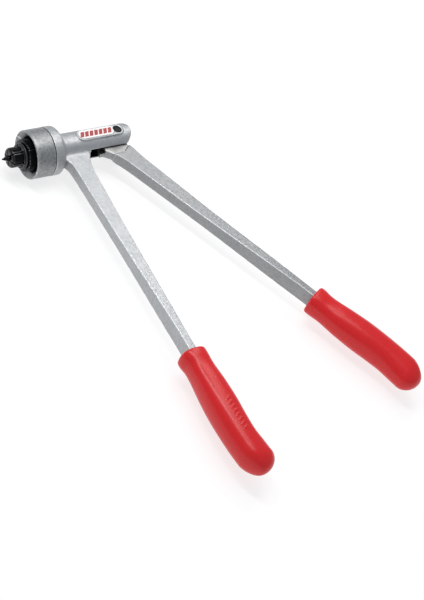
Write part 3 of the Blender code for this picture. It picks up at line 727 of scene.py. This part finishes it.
def lever_cast():
    """The lever: a bar as deep as the fixed one, and a thinner machined tongue with the cam."""
    def edge(station, side):
        return edge_of(LEVER_FOOT, LEVER_ALONG, LEVER_INWARD, station, side)

    inner = [edge(s, 1.0) for s in STATIONS]
    outer = [edge(s, -1.0) for s in reversed(STATIONS)]
    tang = [edge(TANG_END, 1.0), edge(TANG_END, -1.0)]
    shoulder = [(112.6, -14.9), (103.6, -22.3), HEEL]
    flank = bend(HEEL, (94.0, -26.5), inner[0], 6)
    bar = prism("lever_cast", shoulder + flank + inner[1:] + tang + outer, -1.0, 1.0)
    deepen(sliced(bar, LEVER_FOOT, LEVER_ALONG), LEVER_FOOT, LEVER_ALONG)
    pivot = Vector((PIVOT_X, 0.0))
    flank = bend(edge(45.0, 1.0), (92.8, -21.0), (81.7, -16.3), 10)
    cam = [tuple(pivot + cam_point(math.radians(t))) for t in range(30, -14, -2)]
    outline = [tuple(LEVER_FOOT + LEVER_ALONG * 58.0), *flank, *cam]
    outline += arc(pivot, TONGUE_BOSS_R, 150.0, -20.0, 30) + [(111.4, -14.0), edge(42.0, -0.8)]
    combine(bar, prism("tongue", outline, -TONGUE_HALF, TONGUE_HALF), "UNION")
    combine(bar, post("lever_hole", (PIVOT_X, 0.0), PIN_R + HOLE_FIT, -20.0, 20.0))
    # The upper half of the tongue's nose is cut back, so that the slot's mouth shows open there.
    relief = [(83.2, -19.4), (81.1, -13.6), (80.4, -12.2)]
    relief += [(68.0, -12.2), (68.0, -25.0), (83.2, -25.0)]
    combine(bar, prism("relief", relief, 1.2, 20.0))
    under_heel = ((*HEEL, -SHANK_THIN), (90.6, -25.0, -SHANK_THIN), 3.2)
    cast_skin(bar, 0.4, [under_heel], 0.4)
    co = coords(bar)
    station = stations_of(co, LEVER_FOOT, LEVER_ALONG)
    flat = 1.0 - soft_step(np.abs(co[:, 2]), TONGUE_HALF + 0.1, TONGUE_HALF + 0.5)
    on_tongue = soft_step(up_share(bar), 0.5, 0.9) * (1.0 - soft_step(station, 26.0, 30.0))
    mark(bar, "machined", flat * on_tongue)
    # Painted shade, near black, on the wall where the tongue's nose is cut back and round the pin
    # inside the slot.
    near_pin = 1.0 - soft_step(np.hypot(co[:, 0] - PIVOT_X, co[:, 1]), 11.5, 12.5)
    nose = soft_step(-co[:, 0], -84.0, -82.6) * (co[:, 1] > -20.5) * (co[:, 2] > 0.8)
    mark(bar, "inside", np.maximum(nose, near_pin) * (co[:, 2] < TONGUE_HALF + 0.4))
    # Painted highlight along the lever bar's long edges.
    mark(bar, "ridge_highlight", ridges(bar) * soft_step(station, 30.0, 44.0) * (1.0 - flat))
    return finished(bar, "lever", SHADED_LEVER_CAST, ["lever"])


# ---- head ------------------------------------------------------------------------------


def head_ring():
    """The ring that screws on the nose: round the outside to the front, then in past its funnel."""
    thread_r = THREAD_R + 0.4
    profile = [
        (CAP_LENGTH, thread_r), (CAP_LENGTH, CAP_R - 0.3), (CAP_LENGTH - 0.3, CAP_R),
        (0.7, CAP_R, 0.5), (0.0, CAP_R - 0.7, 0.4), (0.0, 23.5, 0.3), (4.2, 18.6, 0.4),
        (8.1, 18.6), (8.1, 22.5), (13.4, 22.5), (13.9, thread_r),
    ]
    ring = smoothed(turned("head_ring", eased(profile, ease=0.2), steps=192), 50.0)
    return finished(ring, "body", SATIN, ["head_cap"])


def cone_radius(x):
    return min(CONE_START_R + (x - CONE_START) * CONE_SLOPE, NECK_R)


def jaw_pieces():
    """Six jaws cut from one turned shape, each with its arc of the rubber ring."""
    # From the flange inside the ring, out along the collar, the ring's groove, the shoulder where
    # the tube stops, and the nose, then back along the cone.
    cone_air = 0.35
    profile = [
        (12.2, NECK_R + 0.4), (12.2, 20.6, 0.4), (8.4, 20.6), (8.4, 16.5), (-4.0, 16.5, 0.5),
        (-4.4, 16.1, 0.2), (-4.4, 10.8, 0.3), (-7.3, 10.8, 0.3), (-7.3, 12.5),
        (-8.6, 12.5, 0.5), (-8.6, NOSE_R, 0.5),
        (NOSE_TIP + NOSE_ROUND, NOSE_R, 1.4), (NOSE_TIP, NOSE_R - NOSE_ROUND, 1.4),
        (NOSE_TIP, cone_radius(NOSE_TIP) + cone_air), (3.7, NECK_R + cone_air),
    ]
    blank = turned("jaw_blank", eased(profile, ease=0.2), steps=180)
    half = math.pi / JAW_COUNT
    near = JAW_SLIT / 2.0 / math.sin(half)
    far, side = near + CLEAR, CLEAR * math.tan(half)
    wedge = prism("wedge", [(near, 0.0), (far, -side), (far, side)], -60.0, 60.0)
    wedge.data.transform(TURN_Z_TO_X)
    combine(blank, wedge, "INTERSECT")
    weld = blank.modifiers.new("Weld", "WELD")
    weld.merge_threshold = 0.01
    smoothed(bevelled(settled(blank), 0.3, 2, 60.0), 40.0)
    for number in range(1, JAW_COUNT + 1):
        turn = math.radians(JAW_TURN + 360.0 / JAW_COUNT * (number - 1))
        jaw = new_object(f"jaw_{number}_steel", blank.data.copy())
        jaw.data.transform(Matrix.Rotation(turn, 4, "X"))
        finished(jaw, f"jaw_{number}", BLACK, [f"jaw_{number}"])
        ring = ring_arc(f"jaw_ring_arc_{number}", turn)
        finished(ring, f"jaw_{number}", RUBBER, ["jaw_retaining_ring"])
    bpy.data.objects.remove(blank)


def ring_arc(name, middle):
    """A sixth of the rubber ring, a little long, so that the ring stays whole as the jaws part."""
    count, around, overlap = 18, 20, 4.4
    reach = math.radians(180.0 / JAW_COUNT + overlap)
    verts = []
    for i in range(count + 1):
        turn = middle - reach + 2.0 * reach * i / count
        for k in range(around):
            a = 2.0 * math.pi * k / around
            r = RING_R + RING_SECTION * math.sin(a)
            x = RING_X + RING_SECTION * math.cos(a)
            verts.append((x, r * math.cos(turn), r * math.sin(turn)))
    ends = [tuple(range(around)), tuple(range(count * around, (count + 1) * around))]
    return smoothed(drawn(name, verts, ends + walls(count + 1, around)), 50.0)


def mandrel_piece():
    """The mandrel: plunger, neck, cone and point turned in one, and a fork for the roller."""
    cone_end = CONE_START + (NECK_R - CONE_START_R) / CONE_SLOPE
    ear_r = 5.2
    back = ROLLER_X + ear_r + 1.0
    profile = [
        (back, 0.0), (back, PLUNGER_R), (PLUNGER_FRONT + 0.6, PLUNGER_R),
        (PLUNGER_FRONT, PLUNGER_R - 0.6), (PLUNGER_FRONT, NECK_R), (cone_end, NECK_R, 1.0),
        (CONE_START, CONE_START_R, 0.4), (CONE_START - 0.8, 1.9, 0.3), (-27.2, 0.55, 0.3),
        (-27.6, 0.0),
    ]
    shape = turned("mandrel_cone", eased(profile, ease=0.3, closed=False), steps=96)
    ears = [(-CLEAR, 20.0), (-CLEAR, -20.0), (73.0, -20.0), (75.0, -ear_r)]
    ears += arc((ROLLER_X, 0.0), ear_r, -90.0, 90.0, 20) + [(75.0, ear_r), (73.0, 20.0)]
    combine(shape, prism("ears", ears, -20.0, 20.0), "INTERSECT")
    combine(shape, block("fork", (ROLLER_X - ROLLER_R - 0.6, -20.0, -4.3), (95.0, 20.0, 4.3)))
    combine(shape, post("fork_hole", (ROLLER_X, 0.0), 2.3, -20.0, 20.0, steps=32))
    return finished(smoothed(shape), "mandrel", BLACK, ["mandrel"])


def spring_piece():
    """The coil spring that brings the mandrel back."""
    wire, radius, turns, around, steps = 0.6, 8.2, 6.5, 12, 300
    start, end = BUSH_END + 0.3 + wire, PLUNGER_FRONT - 0.3 - wire
    verts = []
    for i in range(steps + 1):
        share = i / steps
        # The coils lie closer together at both ends.
        closing = share - 0.6 * math.sin(2.0 * math.pi * share) / (2.0 * math.pi)
        turn = 2.0 * math.pi * turns * share
        out = Vector((0.0, math.cos(turn), math.sin(turn)))
        middle = Vector((start + (end - start) * closing, 0.0, 0.0)) + out * radius
        for k in range(around):
            a = 2.0 * math.pi * k / around
            verts.append(middle + out * wire * math.cos(a) + Vector((wire * math.sin(a), 0.0, 0.0)))
    ends = [tuple(range(around)), tuple(range(steps * around, (steps + 1) * around))]
    spring = drawn("return_spring_coil", verts, ends + walls(steps + 1, around))
    spring = finished(smoothed(spring, 50.0), "body", SPRING, ["return_spring"])
    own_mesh(spring)


def pin_piece():
    """The pivot pin, with its head sunk in the pad and a groove for the retaining ring below."""
    foot, groove, head = -PAD_TOP - 3.4, -PAD_TOP - 1.9, PAD_TOP - 3.0
    groove_r, groove_end = 2.9, groove + 1.6
    profile = [
        (foot, 0.0), (foot, PIN_R - 0.1, 0.5), (groove, PIN_R, 0.15), (groove, groove_r, 0.15),
        (groove_end, groove_r, 0.15), (groove_end, PIN_R, 0.15), (head, PIN_R), (head, PIN_HEAD_R),
        (PAD_TOP - 0.75, PIN_HEAD_R, 0.4), (PAD_TOP - 0.4, PIN_HEAD_R - 0.6, 0.5),
        (PAD_TOP - 0.3, 0.0),
    ]
    profile = eased(profile, closed=False)
    pin = turned("pivot_pin_head", profile, steps=72, axis="Z", centre=(PIVOT_X, 0.0, 0.0))
    return finished(smoothed(pin), "body", BLACK, ["pivot_pin"])


# ---- grips -----------------------------------------------------------------------------

# How far the grip's skin stands from the handle's line, by share of its length: away from the
# other handle, towards it, and up and down.
OUTER = (
    (0.0, 13.9), (0.035, 14.1), (0.09, 12.7), (0.16, 12.7), (0.30, 14.2), (0.45, 15.4),
    (0.62, 15.2), (0.76, 14.0), (0.88, 11.6), (1.0, 8.0),
)
INNER = (
    (0.0, 13.7), (0.04, 13.9), (0.12, 13.8), (0.28, 15.2), (0.45, 15.6), (0.60, 15.0),
    (0.70, 15.4), (0.80, 17.9), (0.88, 19.6), (1.0, 18.0),
)
DEEP = (
    (0.0, 13.8), (0.04, 14.0), (0.12, 13.4), (0.28, 14.8), (0.45, 15.8), (0.62, 15.6),
    (0.76, 15.2), (0.88, 14.8), (1.0, 13.0),
)
LIP_END, TIP_START, TIP_SHIFT = 0.016, 0.86, 3.5
MARK_START, MARK_END, MARKS, MARK_HEIGHT = 0.43, 0.70, 8, 0.5


def grip_shares():
    """Where the grip's rings lie along its length: close together under the raised marks."""
    lip = np.array([0.0, 0.0012, 0.003, 0.006, 0.01, LIP_END])
    near = np.linspace(0.024, MARK_START - 0.01, 48)
    marks = np.linspace(MARK_START, MARK_END, 96)
    far = MARK_END + (1.0 - MARK_END) * np.sin(np.linspace(0.03, 1.0, 48) * math.pi / 2.0)
    return np.concatenate([lip, near, marks, far])


def section(angle, wide_out, wide_in, deep, power):
    """A rounded rectangle round the handle's line, as (inward, up) at each angle."""
    side, up = np.cos(angle), np.sin(angle)
    size = (np.abs(side) ** power + np.abs(up) ** power) ** (-1.0 / power)
    return side * size * np.where(side > 0.0, wide_in, wide_out), up * size * deep


def marks_height(share, inward, up):
    """Eight short slanted ribs along the grip, on the side where up is positive."""
    along = (share - MARK_START) / (MARK_END - MARK_START)
    middle = 0.6 + 1.8 * along
    across = inward - middle
    slot = along * MARKS + across * 0.09
    rib = 1.0 - soft_step(np.abs(slot - np.floor(slot) - 0.5), 0.14, 0.24)
    rib = rib * (1.0 - soft_step(np.abs(across), 2.4, 3.1))
    inside = soft_step(along, 0.0, 0.02) * (1.0 - soft_step(along, 0.98, 1.0))
    return np.where(up > 0.0, rib * inside * MARK_HEIGHT, 0.0)


def grip_piece(name, body, foot, along, inward, face, node):
    """A grip with its pocket for the tang. Its ribs are above if face is 1 and below if -1."""
    around = 128
    angle = 2.0 * math.pi * np.arange(around) / around
    rings = []
    for share in grip_shares():
        tip = max(0.0, (share - TIP_START) / 0.14)
        fullness = max(0.0, 1.0 - tip**2.4) ** 0.5
        lip = 1.0 - 0.09 * (1.0 - min(share / LIP_END, 1.0)) ** 2.2
        out, inn, deep = (float(spline_at(t, np.array([share]))[0]) for t in (OUTER, INNER, DEEP))
        power = 2.55 - 0.2 * share
        x, z = section(angle, out, inn, deep, power)
        size = fullness * lip * 1.015
        x, z = x * size + TIP_SHIFT * tip, z * size
        z = z + marks_height(share, x, z * face) * face
        rings.append(np.stack([np.full(around, GRIP_START + share * GRIP_LENGTH), x, z], axis=1))
    rings = rings[:-1]
    tang_half, squareness = SHANK_NARROW / 2.0 + 0.25, 7.0
    x, z = section(angle, tang_half, tang_half, SHANK_DEEP + 0.25, squareness)
    mouth = rings[0][:, 1:]
    # From the grip's end face in to the tang's end: how deep, and how far closed on the tang.
    pocket_depth = TANG_END + 0.5 - GRIP_START
    steps = ((0.0, 0.45), (0.0, 0.8), (0.25, 0.95), (1.0, 1.0), (30.0, 1.0), (pocket_depth, 1.0))
    pocket = []
    for depth, share in steps:
        flat = mouth * (1.0 - share) + np.stack([x, z], axis=1) * share
        pocket.append(np.column_stack([np.full(around, GRIP_START + depth), flat]))
    rings = pocket[::-1] + rings
    verts = []
    for ring in rings:
        for station, side, up in ring:
            at = foot + along * float(station) + inward * float(side)
            verts.append((at.x, at.y, float(up)))
    end = foot + along * (GRIP_START + GRIP_LENGTH) + inward * TIP_SHIFT
    verts.append((end.x, end.y, 0.0))
    last = (len(rings) - 1) * around
    faces = [tuple(range(around))] + walls(len(rings), around)
    faces += [(last + k, last + (k + 1) % around, len(verts) - 1) for k in range(around)]
    grip = smoothed(drawn(name, verts, faces), 60.0)
    return finished(grip, body, RED, [node])


# ---- plate -----------------------------------------------------------------------------


def plate_pieces():
    """The label: a white plate with seven plain slanted red bars on it."""
    plate = prism("nameplate_enamel", pill(PLATE_END, PLATE_HALF, 32), PAD_TOP - 0.4, PAD_TOP + 0.2)
    finished(smoothed(bevelled(plate, 0.12), 30.0), "body", WHITE, ["nameplate"])
    bars, count, first, last, tall, slant = [], 7, 57.6, 95.4, 3.3, 1.4
    pitch = (last - first) / count
    for number in range(count):
        middle = first + pitch * (number + 0.5)
        wide = pitch * 0.38
        corners = [(middle - wide - slant, -tall), (middle + wide - slant, -tall),
                   (middle + wide + slant, tall), (middle - wide + slant, tall)]
        outline = eased(corners, ease=0.35)
        bars.append(prism(f"bar_{number}", outline, PAD_TOP + 0.1, PAD_TOP + 0.28))
    bm = bmesh.new()
    for bar in bars:
        bm.from_mesh(bar.data)
        bpy.data.objects.remove(bar)
    mesh = bpy.data.meshes.new("nameplate_bars")
    bm.to_mesh(mesh)
    bm.free()
    finished(smoothed(new_object("nameplate_bars", mesh), 30.0), "body", RED_INK)


body_cast()
lever_cast()
head_ring()
jaw_pieces()
mandrel_piece()
spring_piece()
pin_piece()
grip_piece("fixed_grip_vinyl", "body", FIXED_FOOT, FIXED_ALONG, FIXED_INWARD, 1.0, "fixed_grip")
grip_piece("lever_grip_vinyl", "lever", LEVER_FOOT, LEVER_ALONG, LEVER_INWARD, -1.0, "lever_grip")
plate_pieces()

# The CAD's own nodes that stay as they are get a material each.
for node, material in (
    ("guide_bush", STEEL), ("jaw_thrust_washer", STEEL), ("cam_roller", STEEL),
    ("roller_pin", STEEL), ("lever_washer_upper", STEEL), ("lever_washer_lower", STEEL),
    ("pin_retaining_ring", SPRING),
):
    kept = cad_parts[node]
    for place in kept.material_slots:
        place.material = material
    if not kept.material_slots:
        kept.data.materials.append(material)


# ---- floor, light and camera -----------------------------------------------------------

FLOOR_HALF = 6.0
FLOOR_ROUGHNESS, FLOOR_GLOW = 0.9, 0.72
SKY_COLOUR, SKY_STRENGTH = (0.91, 0.96, 1.0, 1.0), 0.52
# Each light's place, what it is aimed at, its size, brightness and colour.
LIGHTS = (
    ("window", (0.26, 0.34, 0.80), (-0.05, 0.0, 0.0), (0.34, 0.9), 3.2, (1.0, 0.975, 0.95)),
    ("back", (0.30, 0.86, 0.52), (-0.12, 0.2, 0.03), (0.24, 0.12), 4.0, (1.0, 1.0, 1.0)),
    ("strip", (-0.22, 0.30, 0.75), (-0.05, 0.0, 0.0), (0.06, 0.6), 21.0, (1.0, 1.0, 1.0)),
)
CAMERA_AZIMUTH, CAMERA_ELEVATION, CAMERA_ROLL = -52.613, 47.446, -29.167
CAMERA_AIM, CAMERA_AWAY = Vector((102.98, -215.56, 0.0)), 1.39654
CAMERA_LENS, CAMERA_SENSOR = 85.455, 36.0


def floor():
    base = new_object("floor", bpy.data.meshes.new("floor"))
    half = FLOOR_HALF
    corners = [(-half, -half, 0.0), (half, -half, 0.0), (half, half, 0.0), (-half, half, 0.0)]
    base.data.from_pydata(corners, [], [(0, 1, 2, 3)])
    base.location.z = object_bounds()[0].z - 0.0002
    p = Paint("floor_pale")
    tone = p.mix(p.noise(3.0, detail=2.0), (0.33, 0.33, 0.33), (0.35, 0.35, 0.35))
    base.data.materials.append(p.finish(
        tone, FLOOR_ROUGHNESS, p.bump(p.noise(300.0), 0.00002), Specular_IOR_Level=0.1,
        Emission_Color=(1.0, 1.0, 1.0), Emission_Strength=FLOOR_GLOW,
    ))
    base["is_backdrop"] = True


def softbox(name, at, target, size, brightness, colour):
    light = bpy.data.lights.new(name, "AREA")
    light.shape, light.size, light.size_y = "RECTANGLE", size[0], size[1]
    light.energy = brightness * math.pi * size[0] * size[1]
    light.color = colour
    made = new_object(name, light)
    made.location = at
    made.rotation_mode = "QUATERNION"
    made.rotation_quaternion = (Vector(target) - Vector(at)).to_track_quat("-Z", "Y")


def studio():
    world = bpy.data.worlds.new("studio")
    world.use_nodes = True
    sky = world.node_tree.nodes["Background"]
    sky.inputs["Color"].default_value = SKY_COLOUR
    sky.inputs["Strength"].default_value = SKY_STRENGTH
    bpy.context.scene.world = world
    for light in LIGHTS:
        softbox(*light)


def camera():
    azimuth, elevation = math.radians(CAMERA_AZIMUTH), math.radians(CAMERA_ELEVATION)
    roll = math.radians(CAMERA_ROLL)
    out = math.cos(elevation)
    back = Vector((math.sin(azimuth) * out, -math.cos(azimuth) * out, math.sin(elevation)))
    level = Vector((math.cos(azimuth), math.sin(azimuth), 0.0))
    upright = back.cross(level)
    up = upright * math.cos(roll) + level * math.sin(roll)
    right = up.cross(back)
    data = bpy.data.cameras.new("camera")
    data.lens, data.sensor_width = CAMERA_LENS, CAMERA_SENSOR
    data.clip_start, data.clip_end = 0.05, 50.0
    made = new_object("camera", data)
    place = AT + CAMERA_AIM * MM + back * CAMERA_AWAY
    turn = Matrix((right, up, back)).transposed().to_4x4()
    made.matrix_world = Matrix.Translation(place) @ turn
    bpy.context.scene.camera = made


floor()
studio()
camera()
bpy.context.scene.view_settings.view_transform = "Standard"
